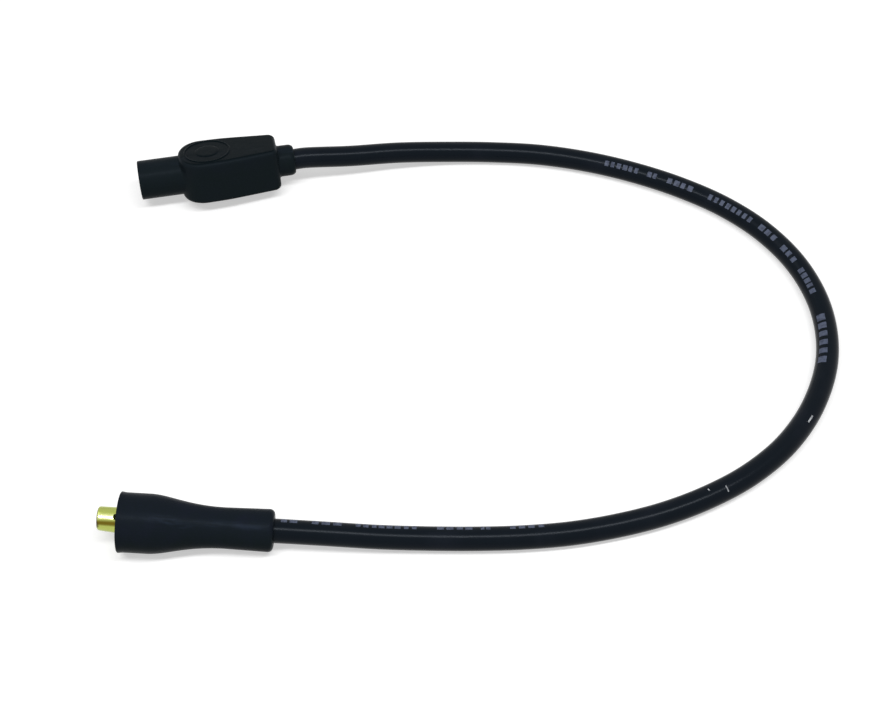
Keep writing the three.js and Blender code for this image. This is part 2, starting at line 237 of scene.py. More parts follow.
def makeBootRubber(name, boot, placing):
    s = bootRubber
    amounts = s[boot]
    fixed = {"Specular IOR Level": s["specular"], "Specular Tint": s["sheenTint"]}
    finish = Finish(name, fixed)
    place = finish.place(placing)
    cloud = finish.mask(finish.noise(place, s["cloudPerMetre"], 5), *s["cloudEdges"])
    streak = finish.noise(place, s["streakPerMetre"], 4, s["streakStretch"])
    through = finish.sides(place)[1]
    # painted highlight: a band at a fixed angle round the boot, where the lamp's highlight falls, broken
    # into patches
    away = finish.awayFrom(finish.turn(place) + (streak - 0.5) * s["highlightWander"], s["highlightTurn"])
    markShare = 1 - finish.mask(away, s["highlightCore"], s["highlightHalf"])
    patches = finish.mask(finish.noise(place, s["patchPerMetre"], 3, s["patchStretch"]), *s["patchEdges"])
    highlightScuff = finish.mask(streak, *s["streakEdges"]) * markShare * patches * amounts["highlightScuffs"]
    # painted sheen: the upper side is made paler and bluer, as a reflection from above would make it
    upperSheen = finish.mask(through, s["sheenLow"], s["sheenHigh"])
    speck = finish.mask(finish.noise(place, s["speckPerMetre"], 3), *s["speckEdges"])
    clouds, specks, top = s["filmSheenShares"]
    filmAndSheen = (clouds * cloud + specks * speck + top * upperSheen) * amounts["filmSheen"]
    dustyWithSheen = finish.mix(filmAndSheen, s["dark"], s["filmSheenColour"])
    # painted shade that darkens the plug boot's broad face, which faces the lamps
    faceShade = finish.mask(through, s["paintedShadeLow"], s["paintedShadeHigh"]) * amounts["paintedShade"]
    base = finish.mix(faceShade, dustyWithSheen, s["paintedShade"])
    finish.feed("Base Color", finish.mix(highlightScuff, base, s["highlightScuff"]))
    spread = s["roughHigh"] - s["roughLow"]
    finish.feed("Roughness", s["roughLow"] + spread * finish.noise(place, s["roughPerMetre"], 4))
    grain = finish.noise(place, s["grainPerMetre"], 2)
    swell = finish.noise(place, s["swellPerMetre"], 2)
    fine, broadly, along = s["grainShares"]
    finish.bump(grain * fine + swell * broadly + streak * along, s["grainDepth"])
    return finish.material


jacketSilicone = {
    "deep": (0.0036, 0.0062, 0.0098, 1),
    "worn": (0.0060, 0.0086, 0.0136, 1),
    "cloudPerMetre": 60,
    "cloudStretch": (1, 0.4, 1),
    "cloudEdges": (0.48, 0.72),
    "streakPerMetre": 22,
    "streakStretch": (0.6, 60, 1),
    "rubPerMetre": 180,
    "rubStretch": (1, 0.5, 1),
    "rubShare": 0.6,
    "roughLow": 0.17,
    "roughHigh": 0.30,
    "specular": 0.072,
    "sheenTint": (0.82, 0.90, 1.0, 1),
    "streakDepth": 0.000010,
}


def makeJacketSilicone():
    # its map is the tube's own length and girth, so that streaks follow the cable
    s = jacketSilicone
    fixed = {"Specular IOR Level": s["specular"], "Specular Tint": s["sheenTint"]}
    finish = Finish("jacketSilicone", fixed)
    along = finish.node("ShaderNodeUVMap", {"uv_map": "run"})
    cloud = finish.mask(finish.noise(along, s["cloudPerMetre"], 4, s["cloudStretch"]), *s["cloudEdges"])
    streak = finish.noise(along, s["streakPerMetre"], 4, s["streakStretch"])
    finish.feed("Base Color", finish.mix(cloud, s["deep"], s["worn"]))
    spread = s["roughHigh"] - s["roughLow"]
    rub = finish.noise(along, s["rubPerMetre"], 3, s["rubStretch"])
    finish.feed("Roughness", s["roughLow"] + spread * (rub * s["rubShare"] + streak * (1 - s["rubShare"])))
    finish.bump(streak + rub * s["rubShare"], s["streakDepth"])
    return finish.material


brassSheet = {
    "bright": (0.40, 0.455, 0.110, 1),
    # painted highlight band round the post
    "highlightBand": (0.60, 0.63, 0.30, 1),
    # olive of the fine drawing lines, and a painted dark reflection band round the post
    "oliveAndDarkReflection": (0.160, 0.122, 0.012, 1),
    "tarnish": (0.050, 0.034, 0.022, 1),
    "cloudPerMetre": 420,
    "cloudEdges": (0.46, 0.66),
    "drawPerMetre": 700,  # fine lines from the drawing of the sheet
    "drawStretch": (0.03, 1, 1),
    "drawEdges": (0.5, 0.8),
    "drawShare": 0.25,
    "drawDepth": 0.000006,
    "roughLow": 0.21,
    "roughHigh": 0.33,
    "roughShares": (0.3, 0.7),  # of it from clouds and from the fine lines
    "highlightBandTurn": 1.36,  # radians up from level on the outer side, where the painted highlight band lies
    "darkReflectionTurn": 0.86,  # where the painted dark reflection band lies
    "bandCore": 0.05,
    "bandHalf": 0.325,
    "bandWander": 0.12,
    "tipReach": 0.0070,  # from the boot's rim out to the post's tip
    "tipFade": 0.0001,
    "tipStain": 0.0006,
    "tipGrainPerMetre": 1800,
    "tipGrain": 0.0003,
    "stainTurn": 0.60,  # where the stain at the tip reaches furthest
    "stainCore": 0.1,
    "stainHalf": 0.50,
    "stainReach": (0.5, 1.5),  # of tipStain everywhere, and more of it at stainTurn
}


def makeBrass(name, placing, banded):
    s = brassSheet
    finish = Finish(name, {"Metallic": 1.0})
    place = finish.place(placing)
    cloud = finish.mask(finish.noise(place, s["cloudPerMetre"], 4), *s["cloudEdges"])
    draw = finish.noise(place, s["drawPerMetre"], 3, s["drawStretch"])
    base = finish.mix(finish.mask(draw, *s["drawEdges"]) * s["drawShare"], s["bright"], s["oliveAndDarkReflection"])
    # painted highlight and painted dark reflection: bands fixed to the angle round the post
    if banded:
        turn = finish.turn(place) + (draw - 0.5) * s["bandWander"]
        for middle, colour in ((s["highlightBandTurn"], s["highlightBand"]), (s["darkReflectionTurn"], s["oliveAndDarkReflection"])):
            away = finish.awayFrom(turn, middle)
            base = finish.mix(1 - finish.mask(away, s["bandCore"], s["bandHalf"]), base, colour)
        ragged = finish.noise(place, s["tipGrainPerMetre"], 2) * s["tipGrain"]
        outward = finish.node("ShaderNodeSeparateXYZ", {}, {0: place}) * -1 + ragged
        spot = 1 - finish.mask(finish.awayFrom(turn, s["stainTurn"]), s["stainCore"], s["stainHalf"])
        least, more = s["stainReach"]
        stainStart = s["tipReach"] - s["tipStain"] * (least + more * spot)
        edge = finish.mask(outward, stainStart, s["tipReach"] + s["tipFade"])
        base = finish.mix(edge, base, s["tarnish"])
    finish.feed("Base Color", base)
    spread = s["roughHigh"] - s["roughLow"]
    clouds, lines = s["roughShares"]
    finish.feed("Roughness", s["roughLow"] + spread * (cloud * clouds + draw * lines))
    finish.bump(draw, s["drawDepth"])
    return finish.material


drawnWire = {
    "spring": {"light": (0.62, 0.63, 0.64, 1), "dark": (0.25, 0.24, 0.22, 1), "metallic": 1.0},
    "core": {"light": (0.45, 0.27, 0.17, 1), "dark": (0.16, 0.09, 0.06, 1), "metallic": 0.85},
    "dirtPerMetre": 900,
    "dirtEdges": (0.45, 0.7),
    "roughLow": 0.25,
    "roughSpread": 0.3,
    "linesPerMetre": 3000,
    "lineDepth": 0.00002,
}


def makeWire(name, kind):
    # fine lines and a little dirt
    s = drawnWire
    wire = s[kind]
    finish = Finish(name, {"Metallic": wire["metallic"]})
    place = finish.place(plugPlacing)
    dirt = finish.mask(finish.noise(place, s["dirtPerMetre"], 3), *s["dirtEdges"])
    finish.feed("Base Color", finish.mix(dirt, wire["light"], wire["dark"]))
    finish.feed("Roughness", s["roughLow"] + s["roughSpread"] * dirt)
    finish.bump(finish.noise(place, s["linesPerMetre"], 2), s["lineDepth"])
    return finish.material


printInk = {
    "bars": {"full": (0.074, 0.090, 0.138, 1), "thin": (0.050, 0.060, 0.092, 1)},
    "nicks": {"full": (0.42, 0.44, 0.46, 1), "thin": (0.22, 0.23, 0.25, 1)},
    "specular": 0.2,
    "rubPerMetre": 700,
    "rubEdges": (0.44, 0.66),
    "roughLow": 0.45,
    "roughSpread": 0.3,
    "rubDepth": 0.00001,
}


def makePrintInk(name, kind):
    s = printInk
    finish = Finish(name, {"Specular IOR Level": s["specular"]})
    place = finish.place(plugPlacing)
    markShare = finish.mask(finish.noise(place, s["rubPerMetre"], 4), *s["rubEdges"])
    finish.feed("Base Color", finish.mix(markShare, s[kind]["full"], s[kind]["thin"]))
    finish.feed("Roughness", s["roughLow"] + s["roughSpread"] * markShare)
    finish.bump(markShare, s["rubDepth"])
    return finish.material


finishes = {
    "plugBoot": makeBootRubber("plugBootRubber", "plug", plugPlacing),
    "coilBoot": makeBootRubber("coilBootRubber", "coil", coilPlacing),
    "jacket": makeJacketSilicone(),
    "post": makeBrass("postBrass", coilPlacing, True),
    "socket": makeBrass("socketBrass", plugPlacing, False),
    "spring": makeWire("springWire", "spring"),
    "core": makeWire("coreStrands", "core"),
    "ink": makePrintInk("printInk", "bars"),
    "nick": makePrintInk("paleNick", "nicks"),
}
print("finishes made:", len(finishes))

# Mesh helpers


def newPiece(name, points, faces, finish, placing=Matrix.Identity(4), sharpAngle=38):
    # the mesh is made where it lies, with its object at the origin
    mesh = bpy.data.meshes.new(name)
    mesh.from_pydata([tuple(placing @ Vector(point)) for point in points], [], faces)
    mesh.shade_smooth()
    mesh.set_sharp_from_angle(angle=math.radians(sharpAngle))
    mesh.materials.append(finishes[finish])
    piece = bpy.data.objects.new(name, mesh)
    bpy.context.scene.collection.objects.link(piece)
    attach(piece, "root")
    return piece


def skin(ringCount, ringSize, endless=True):
    # quads between rings of points that follow each other; endless joins the last ring to the first
    faces = []
    for ring in range(ringCount if endless else ringCount - 1):
        here = ring * ringSize
        ahead = (ring + 1) % ringCount * ringSize
        for i in range(ringSize):
            j = (i + 1) % ringSize
            faces.append((here + i, ahead + i, ahead + j, here + j))
    return faces


def lathe(outline, segments):
    # points and faces of a closed outline of (x, radius) turned about x
    points = []
    for x, radius in outline:
        for i in range(segments):
            angle = 2 * math.pi * i / segments
            points.append((x, radius * math.cos(angle), radius * math.sin(angle)))
    return points, skin(len(outline), segments)


def quarterRound(start, end, bulgesOut, steps=6):
    # (x, radius) points of a quarter round from start to end, bulging away from the axis or towards it
    (x0, r0), (x1, r1) = start, end
    points = []
    for i in range(steps + 1):
        angle = i / steps * math.pi / 2
        early, late = math.sin(angle), 1 - math.cos(angle)
        outFirst = (r1 > r0) == bulgesOut
        radiusShare, lengthShare = (early, late) if outFirst else (late, early)
        points.append((x0 + (x1 - x0) * lengthShare, r0 + (r1 - r0) * radiusShare))
    return points


def between(low, high, spacing):
    # evenly spaced places from low up to, but not at, high
    count = max(1, round((high - low) / spacing))
    return [low + (high - low) * i / count for i in range(count)]


def roundLoss(depth, radius):
    # how much a quarter round of that radius takes off at that depth from where it starts
    if depth >= radius:
        return 0.0
    return radius - math.sqrt(max(0.0, radius**2 - (radius - max(0.0, depth)) ** 2))


def smoothMax(first, second, blend):
    reach = max(blend - abs(first - second), 0.0)
    return max(first, second) + reach**2 / (4 * blend)


# Cable

cable = {
    "radius": 0.004,
    "sides": 56,
    "ringSpacing": 0.0012,
    "plugStart": 0.0371,  # inside the plug boot, from its mouth
    "plugExit": 0.0595,
    "coilStart": 0.0278,  # inside the coil boot, from its mouth
    "coilExit": 0.05,
    "straightExit": 0.004,
    "endRound": 0.0003,
    "endBend": 0.3,
    "curveSteps": 24,
    "length": 0.524,
    "route": [
        (0.0642, 0.0779, 0.0089),
        (0.0832, 0.0781, 0.0069),
        (0.1017, 0.0771, 0.0048),
        (0.1201, 0.074, 0.0041),
        (0.138, 0.0691, 0.0041),
        (0.1558, 0.0617, 0.0041),
        (0.1721, 0.0525, 0.0041),
        (0.1874, 0.0414, 0.0041),
        (0.2011, 0.0283, 0.0041),
        (0.2119, 0.0128, 0.0041),
        (0.2189, -0.0058, 0.0041),
        (0.2204, -0.0269, 0.0041),
        (0.2154, -0.048, 0.0041),
        (0.2042, -0.0667, 0.0041),
        (0.1897, -0.0811, 0.0041),
        (0.1734, -0.0909, 0.0041),
        (0.157, -0.0969, 0.0041),
        (0.1406, -0.1005, 0.0041),
        (0.1245, -0.102, 0.0041),
        (0.1084, -0.102, 0.0041),
        (0.0928, -0.1005, 0.0041),
        (0.0773, -0.098, 0.0041),
        (0.0621, -0.095, 0.0042),
        (0.0467, -0.0919, 0.0049),
        (0.0315, -0.0885, 0.006),
    ],
}


def smoothLine(points, steps):
    # a centripetal Catmull-Rom line through the points
    line = []
    for i in range(len(points) - 1):
        p1, p2 = points[i], points[i + 1]
        p0 = points[i - 1] if i else 2 * p1 - p2
        p3 = points[i + 2] if i + 2 < len(points) else 2 * p2 - p1
        k0, k1, k2 = [math.sqrt((b - a).length) for a, b in ((p0, p1), (p1, p2), (p2, p3))]
        leave = ((p1 - p0) / k0 - (p2 - p0) / (k0 + k1) + (p2 - p1) / k1) * k1
        reach = ((p2 - p1) / k1 - (p3 - p1) / (k1 + k2) + (p3 - p2) / k2) * k1
        for step in range(steps):
            t = step / steps
            line.append((2 * t**3 - 3 * t**2 + 1) * p1 + (t**3 - 2 * t**2 + t) * leave
                        + (3 * t**2 - 2 * t**3) * p2 + (t**3 - t**2) * reach)
    return [*line, points[-1]]


def evenLine(line, spacing):
    # the same line with its points evenly spaced
    lengths = [0.0]
    for here, ahead in zip(line, line[1:]):
        lengths.append(lengths[-1] + (ahead - here).length)
    count = round(lengths[-1] / spacing)
    even, i = [], 0
    for k in range(count + 1):
        goal = lengths[-1] * k / count
        while i < len(line) - 2 and lengths[i + 1] < goal:
            i += 1
        share = (goal - lengths[i]) / (lengths[i + 1] - lengths[i])
        even.append(line[i].lerp(line[i + 1], share))
    return even, lengths[-1] / count


def cableLine():
    plugAxis = [cable["plugStart"], cable["plugExit"], cable["plugExit"] + cable["straightExit"]]
    coilAxis = [cable["coilExit"] + cable["straightExit"], cable["coilExit"], cable["coilStart"]]
    points = [plugPlacing @ Vector((x, 0, 0)) for x in plugAxis]
    points += [Vector(point) for point in cable["route"]]
    points += [coilPlacing @ Vector((x, 0, 0)) for x in coilAxis]
    return evenLine(smoothLine(points, cable["curveSteps"]), cable["ringSpacing"])


centreLine, lineSpacing = cableLine()


def cableFrame(distance):
    # the cable's middle, straight up from it, and level towards the inside of its arc
    share = min(max(distance / lineSpacing, 0), len(centreLine) - 1.001)  # just short of the last point
    i = int(share)
    middle = centreLine[i].lerp(centreLine[i + 1], share - i)
    before, after = centreLine[max(i - 1, 0)], centreLine[min(i + 2, len(centreLine) - 1)]
    along = (after - before).normalized()
    inward = along.cross(Vector((0, 0, 1))).normalized()
    return middle, inward.cross(along), inward


def onCable(distance, angle, radius):
    # angle in degrees from straight up, towards the inside of the arc
    middle, up, inward = cableFrame(distance)
    turn = math.radians(angle)
    return middle + radius * (math.cos(turn) * up + math.sin(turn) * inward)


def makeJacket():
    sides, radius, edge = (cable[key] for key in ("sides", "radius", "endRound"))
    whole = lineSpacing * (len(centreLine) - 1)
    bend = edge * cable["endBend"]
    rings = [(0, radius - edge), (bend, radius - bend)]
    rings += [(lineSpacing * i, radius) for i in range(1, len(centreLine) - 1)]
    rings += [(whole - bend, radius - bend), (whole, radius - edge)]
    points = [onCable(distance, 360 * k / sides, r) for distance, r in rings for k in range(sides)]
    faces = skin(len(rings), sides, endless=False)
    faces.append(tuple(range(sides)))
    faces.append(tuple(reversed(range((len(rings) - 1) * sides, len(rings) * sides))))
    jacket = newPiece("jacket", points, faces, "jacket")
    layRun(jacket.data, rings, sides)
    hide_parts("cable_jacket")
    return jacket


def layRun(mesh, rings, sides):
    # a map of the tube's own length and girth, in metres
    run = mesh.uv_layers.new(name="run")
    girth = 2 * math.pi * cable["radius"]
    for face in mesh.polygons:
        corners = list(face.loop_indices)
        columns = [mesh.loops[c].vertex_index % sides for c in corners]
        wraps = max(columns) - min(columns) > 1
        for corner, column in zip(corners, columns):
            ring = mesh.loops[corner].vertex_index // sides
            turn = column + sides if wraps and column == 0 else column
            run.data[corner].uv = (rings[ring][0], turn / sides * girth)


jacket = makeJacket()
print("jacket made:", round(lineSpacing * (len(centreLine) - 1), 4), "m long")

# Print on the jacket: rows of plain bars, and three pale nicks

legend = {
    "lift": 0.00003,
    "sink": 0.00008,
    "lengthSteps": 3,
    "turnSteps": 6,
    "seed": 7,
    "fills": (0.58, 0.66, 0.74),  # how much of its pitch a bar takes
    "runs": [  # start and end along the cable, angle from up, height of a bar, pitch of the bars
        (0.1453, 0.1598, 31, 0.0021, 0.0026),
        (0.1626, 0.1673, 30, 0.0021, 0.0023),
        (0.1709, 0.1823, 29, 0.0022, 0.0028),
        (0.1884, 0.2093, 29, 0.0022, 0.0027),
        (0.2122, 0.2222, 26, 0.0022, 0.0031),
        (0.2249, 0.2348, 29, 0.0022, 0.0033),
        (0.2374, 0.2505, 30, 0.0023, 0.0026),
        (0.2602, 0.2840, 32, 0.0032, 0.0040),
        (0.4135, 0.4260, 31, 0.0021, 0.0030),
        (0.4311, 0.4351, 31, 0.0021, 0.0020),
        (0.4370, 0.4494, 31, 0.0021, 0.0031),
        (0.4553, 0.4763, 31, 0.0022, 0.0028),
        (0.4798, 0.4909, 31, 0.0022, 0.0033),
        (0.4941, 0.5009, 31, 0.0022, 0.0030),
    ],
    "nicks": [  # place along the cable, angle from up, length along it, width
        (0.3084, -28, 0.0032, 0.0006),
        (0.3503, -28, 0.0004, 0.0022),
        (0.3562, 6, 0.0004, 0.0009),
    ],
}


def addBar(points, faces, start, end, low, high):
    # a thin slab on the jacket from start to end along it and from low to high degrees round it
    lengthSteps, turnSteps = legend["lengthSteps"], legend["turnSteps"]
    base = len(points)
    for height in (legend["lift"], -legend["sink"]):
        for i in range(lengthSteps + 1):
            for k in range(turnSteps + 1):
                distance = start + (end - start) * i / lengthSteps
                angle = low + (high - low) * k / turnSteps
                points.append(onCable(distance, angle, cable["radius"] + height))
    row = turnSteps + 1
    layer = row * (lengthSteps + 1)
    for i in range(lengthSteps):
        for k in range(turnSteps):
            corner = base + i * row + k
            quad = (corner, corner + row, corner + row + 1, corner + 1)
            faces.append(quad)
            faces.append(tuple(v + layer for v in reversed(quad)))
    rim = [base + k for k in range(turnSteps)]
    rim += [base + i * row + turnSteps for i in range(lengthSteps)]
    rim += [base + lengthSteps * row + k for k in range(turnSteps, 0, -1)]
    rim += [base + i * row for i in range(lengthSteps, 0, -1)]
    for here, ahead in zip(rim, rim[1:] + rim[:1]):
        faces.append((here, ahead, ahead + layer, here + layer))


degreesPerMetre = math.degrees(1 / cable["radius"])  # round the jacket


def makeLegend():
    dice = random.Random(legend["seed"])
    points, faces = [], []
    for start, end, angle, height, pitch in legend["runs"]:
        count = max(1, round((end - start) / pitch))
        size = (end - start) / count
        half = height * degreesPerMetre / 2
        for i in range(count):
            width = size * dice.choice(legend["fills"])
            place = start + size * i
            addBar(points, faces, place, place + width, angle - half, angle + half)
    return newPiece("legend", points, faces, "ink")


def makeNicks():
    points, faces = [], []
    for middle, angle, length, width in legend["nicks"]:
        half = width * degreesPerMetre / 2
        addBar(points, faces, middle - length / 2, middle + length / 2, angle - half, angle + half)
    return newPiece("nicks", points, faces, "nick")


legendMarks = makeLegend()
nickMarks = makeNicks()
print("legend made:", len(legendMarks.data.polygons), "faces")

# Plug boot

plugBoot = {
    "segments": 160,
    "boreRadius": 0.0052,
    "boreDepth": 0.0205,
    "leadIn": 0.0008,
    "ribPlaces": (0.006, 0.0095),
    "ribHeight": 0.00035,
    "ribHalf": 0.0007,
    "ribSteps": 6,
    "lipRadius": 0.0041,
    "lipLength": 0.002,
    "cavityRadius": 0.0051,
    "cavityEnd": 0.0458,
    "passageRadius": 0.0042,
    "passageLead": 0.0002,
    "ramp": 0.0008,
    "barrelRadius": 0.0074,
    "bodyStart": 0.0157,
    "bodyEnd": 0.0531,
    "end": 0.0595,
    "halfThickness": 0.0084,
    "shoulderHalfWidth": 0.01125,
    "flankHalfWidth": 0.01065,
    "flankTurn": 0.0332,
    "heelHalfWidth": 0.00795,
    "shoulderRound": 0.0092,
    "heelRound": 0.0026,
    "edgeRound": 0.0016,
    "collarRadius": 0.00595,
    "collarRound": 0.00145,
    "collarRoundLength": 0.0022,
    "mouthRound": 0.00035,
    "blend": 0.0016,  # moulded fillet where the barrel and the collar meet the body
    "rearFillet": 0.0008,
    "flankBlend": 0.0004,
    "partingHeight": 0.00004,
    "partingHalf": 0.00025,
    "partingAngles": (-2.4, -1.5, -0.8, 0, 0.8, 1.5, 2.4),  # degrees, finer steps beside the parting line
    "partingSpan": 4,  # degrees either way that the finer steps cover
    "partingClear": 4,  # past so many halves of its width there is no ridge
    "search": (0.016, 16),  # how far out the body's side is looked for, and in how many halvings
    "barrelStep": 0.0009,
    "bodyStep": 0.0006,
    "fineStep": 0.00014,  # where the barrel and the collar meet the body
    "fineAhead": 0.0006,
    "fineFront": 0.0034,
    "fineRear": 0.003,
    "collarLead": 0.0005,
    "collarStep": 0.0008,
    "hair": 0.00001,
    "sharpAngle": 50,
}


def bodyHalfWidth(x, inset):
    # half the body's width at x, with its outline drawn in by inset
    s = plugBoot
    front = s["shoulderHalfWidth"] + (s["flankHalfWidth"] - s["shoulderHalfWidth"]) * (
        (x - s["bodyStart"]) / (s["flankTurn"] - s["bodyStart"]))
    rear = s["flankHalfWidth"] + (s["heelHalfWidth"] - s["flankHalfWidth"]) * (
        (x - s["flankTurn"]) / (s["bodyEnd"] - s["flankTurn"]))
    flank = -smoothMax(-front, -rear, s["flankBlend"])
    flank -= roundLoss(x - s["bodyStart"] - inset, s["shoulderRound"] - inset)
    flank -= roundLoss(s["bodyEnd"] - x - inset, s["heelRound"] - inset)
    return flank - inset


def insideBody(x, y, z):
    s = plugBoot
    if z > s["halfThickness"]:
        return False
    inset = roundLoss(s["halfThickness"] - z, s["edgeRound"])
    if not s["bodyStart"] + inset <= x <= s["bodyEnd"] - inset:
        return False
    return y <= bodyHalfWidth(x, inset)


def bodyRadius(x, angle):
    # how far out the body reaches at x, in the direction of that angle
    across, through = abs(math.cos(angle)), abs(math.sin(angle))
    reach, halvings = plugBoot["search"]
    low, high = 0.0, reach
    for _ in range(halvings):
        middle = (low + high) / 2
        if insideBody(x, middle * across, middle * through):
            low = middle
        else:
            high = middle
    return low


def plugBootAngles():
    # even steps, with finer ones on the two narrow sides
    fine = [math.radians(degrees) for degrees in plugBoot["partingAngles"]]
    span = plugBoot["partingSpan"]
    even = between(math.radians(span), math.radians(180 - span), 2 * math.pi / plugBoot["segments"])
    half = [*fine[3:], *even, *[math.pi + a for a in fine[:3]]]
    return half + [math.pi + a for a in half]


def partingRidge(angle, radius):
    away = min(abs(math.sin(angle)) * radius / plugBoot["partingHalf"], plugBoot["partingClear"])
    return plugBoot["partingHeight"] * math.exp(-away**2)


def plugBootRings(angles):
    # rings of (x, radii) along the outside, from the mouth's rim to the collar's end
    s = plugBoot
    rings = []
    for x, radius in quarterRound((0, s["barrelRadius"] - s["mouthRound"]),
                                  (s["mouthRound"], s["barrelRadius"]), True):
        rings.append((x, [radius] * len(angles)))
    frontStart, frontEnd = s["bodyStart"] - s["fineAhead"], s["bodyStart"] + s["fineFront"]
    rearStart, rearEnd = s["bodyEnd"] - s["fineRear"], s["bodyEnd"] - s["hair"]
    places = between(s["mouthRound"] + s["fineAhead"], frontStart, s["barrelStep"])
    places += between(frontStart, frontEnd, s["fineStep"])
    places += between(frontEnd, rearStart, s["bodyStep"])
    places += between(rearStart, rearEnd, s["fineStep"])
    places.append(rearEnd)
    for x in places:
        stem = s["barrelRadius"] if x < s["flankTurn"] else s["collarRadius"]
        radii = []
        for angle in angles:
            radius = smoothMax(stem, bodyRadius(x, angle), s["blend"])
            radii.append(radius + partingRidge(angle, radius))
        rings.append((x, radii))
    last = rings[-1][1]
    fillet = s["rearFillet"]
    for x, radius in quarterRound((s["bodyEnd"], s["collarRadius"] + fillet),
                                  (s["bodyEnd"] + fillet, s["collarRadius"]), False):
        rings.append((x, [max(s["collarRadius"], min(radius, edge)) for edge in last]))
    flatStart = s["bodyEnd"] + fillet + s["collarLead"]
    roundStart = s["end"] - s["collarRoundLength"]
    collar = [(x, s["collarRadius"]) for x in between(flatStart, roundStart, s["collarStep"])]
    collar += quarterRound((roundStart, s["collarRadius"]),
                           (s["end"], s["collarRadius"] - s["collarRound"]), True, 8)
    return rings + [(x, [radius] * len(angles)) for x, radius in collar]


def plugBootInside():
    # (x, radius) along the inside, from the cable's end back to the mouth
    s = plugBoot
    lead = s["passageLead"]
    outline = [(s["end"], s["passageRadius"] + lead), (s["end"] - lead, s["passageRadius"])]
    outline += [(s["cavityEnd"] + s["ramp"], s["passageRadius"]), (s["cavityEnd"], s["cavityRadius"])]
    lipStart = s["boreDepth"] + s["ramp"]
    lipEnd = lipStart + s["lipLength"]
    outline += [(lipEnd + s["ramp"], s["cavityRadius"]), (lipEnd, s["lipRadius"])]
    outline += [(lipStart, s["lipRadius"]), (s["boreDepth"], s["boreRadius"])]
    steps = s["ribSteps"]
    for place in reversed(s["ribPlaces"]):
        for step in range(steps, -steps - 1, -1):
            share = step / steps
            swell = math.cos(share * math.pi / 2) ** 2
            outline.append((place + share * 2 * s["ribHalf"], s["boreRadius"] - s["ribHeight"] * swell))
    outline += [(s["leadIn"], s["boreRadius"]), (0, s["boreRadius"] + s["leadIn"])]
    return outline


def makePlugBoot():
    angles = plugBootAngles()
    rings = plugBootRings(angles)
    rings += [(x, [radius] * len(angles)) for x, radius in plugBootInside()]
    points = [(x, radius * math.cos(angle), radius * math.sin(angle))
              for x, radii in rings for angle, radius in zip(angles, radii)]
    faces = skin(len(rings), len(angles))
    boot = newPiece("plugBoot", points, faces, "plugBoot",
                    plugPlacing, plugBoot["sharpAngle"])
    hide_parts("plug_boot")


makePlugBoot()

# Raised ring on the plug boot's broad face, with a plain low button inside it

medallion = {
    "place": 0.0268,
    "radius": 0.009,
    "rim": 0.0009,
    "height": 0.00026,
    "buttonRadius": 0.0046,
    "buttonRound": 0.0013,
    "buttonHeight": 0.00022,
    "sink": 0.0003,
    "segments": 140,
    "arcSteps": 10,
    "sharpAngle": 60,
}


def roundOnFace(profile):
    # points of (radius, height) rings round the medallion's middle
    s = medallion
    points = []
    for radius, height in profile:
        for i in range(s["segments"]):
            angle = 2 * math.pi * i / s["segments"]
            points.append((s["place"] + radius * math.cos(angle), radius * math.sin(angle),
                           plugBoot["halfThickness"] + height))
    return points


def makeMedallion():
    s = medallion
    half = s["rim"] / 2
    steps = s["arcSteps"]
    turns = [math.pi * i / steps for i in range(steps + 1)]
    ring = [(s["radius"] - half - half * math.cos(turn), s["height"] * math.sin(turn)) for turn in turns]
    ring = [(s["radius"] - s["rim"] - s["sink"], -s["sink"]), *ring, (s["radius"] + s["sink"], -s["sink"])]
    points = roundOnFace(ring)
    faces = skin(len(ring), s["segments"])
    base = len(points)
    button = [(s["buttonRadius"] + s["sink"], -s["sink"])]
    for turn in turns[:steps // 2 + 1]:
        radius = s["buttonRadius"] - s["buttonRound"] * (1 - math.cos(turn))
        button.append((radius, s["buttonHeight"] * math.sin(turn)))
    points += roundOnFace(button)
    for face in skin(len(button), s["segments"], endless=False):
        faces.append(tuple(base + v for v in reversed(face)))
    last = base + (len(button) - 1) * s["segments"]
    faces.append(tuple(range(last, last + s["segments"])))
    newPiece("medallion", points, faces, "plugBoot", plugPlacing, s["sharpAngle"])


makeMedallion()
print("plug boot made")

# Coil boot

coilBoot = {
    "segments": 144,
    "end": 0.05,
    "bellRadius": 0.00975,
    "bellInside": 0.0076,
    "bellDepth": 0.013,
    "bellLength": 0.0095,
    "bellStep": 0.0009,
    "floorRound": 0.0015,
    "waistHandles": (0.25, 0.49),  # shares of the way from the bell to the neck, where the curve bends
    "waistSteps": 40,
    "neckStart": 0.034,
    "neckRadius": 0.0067,
    "neckFlare": 0.0003,
    "neckRound": 0.0017,
    "neckStep": 0.001,
    "mouthRound": 0.0003,
    "mouthLip": 0.0002,
    "lipStart": 0.0006,
    "lipEnd": 0.004,
    "lipFade": 0.0012,
    "lipStep": 0.0004,
    "postBore": 0.0045,
    "postLead": 0.0003,
    "postHold": 0.021,
    "ramp": 0.0008,
    "cavityRadius": 0.0051,
    "cavityEnd": 0.0365,
    "passageRadius": 0.0042,
    "passageLead": 0.0002,
    "sharpAngle": 50,
}


